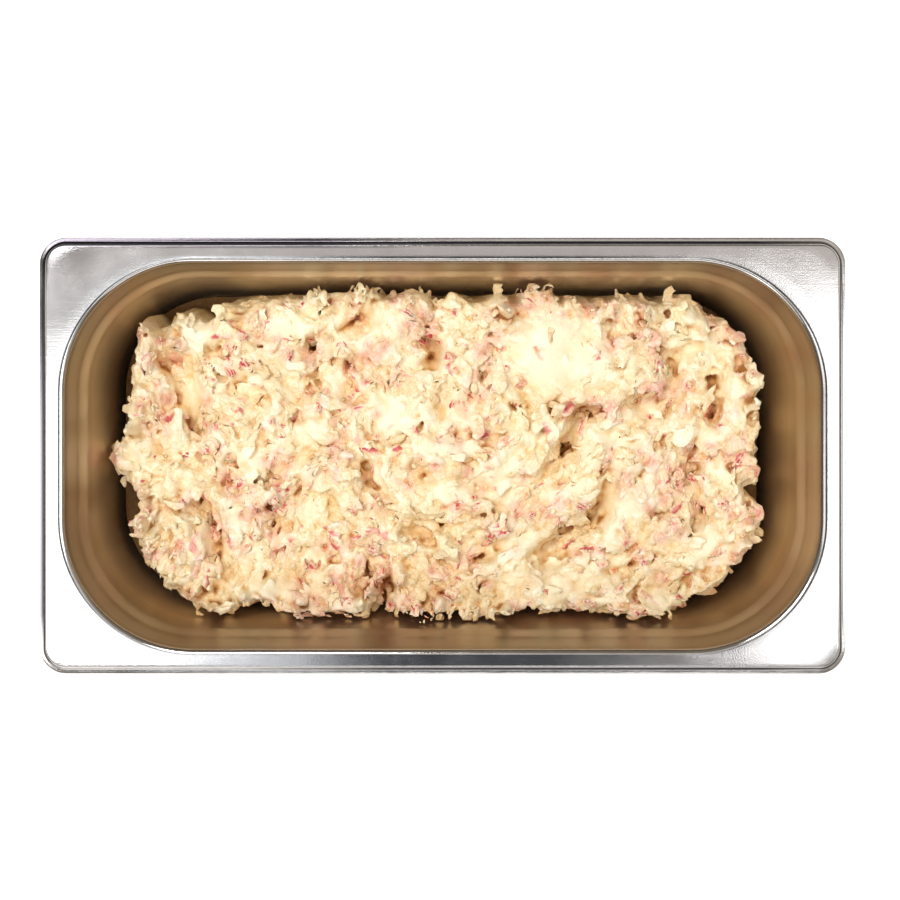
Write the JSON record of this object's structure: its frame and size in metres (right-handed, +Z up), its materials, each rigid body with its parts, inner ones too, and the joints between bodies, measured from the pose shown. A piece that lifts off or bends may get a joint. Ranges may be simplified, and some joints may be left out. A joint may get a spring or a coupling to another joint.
{
  "type": "crab surimi spread in a steel food pan",
  "caption": "Creamy shredded crab surimi spread heaped in a deep-drawn steel food pan with a wide flat rim.",
  "frame": {"origin": "middle of the pan's flat foot, on the surface it stands on", "axes": "+X along the pan's long side, +Y along its short side, +Z up through the open top"},
  "size_m": [0.325, 0.176, 0.1],
  "materials": {
    "steel": "satin, lightly brushed",
    "spread": "moist, creamy, with pink-red flecks"
  },
  "bodies": {
    "root": {"pan": "steel", "crab_spread": "spread"}
  },
  "joints": []
}
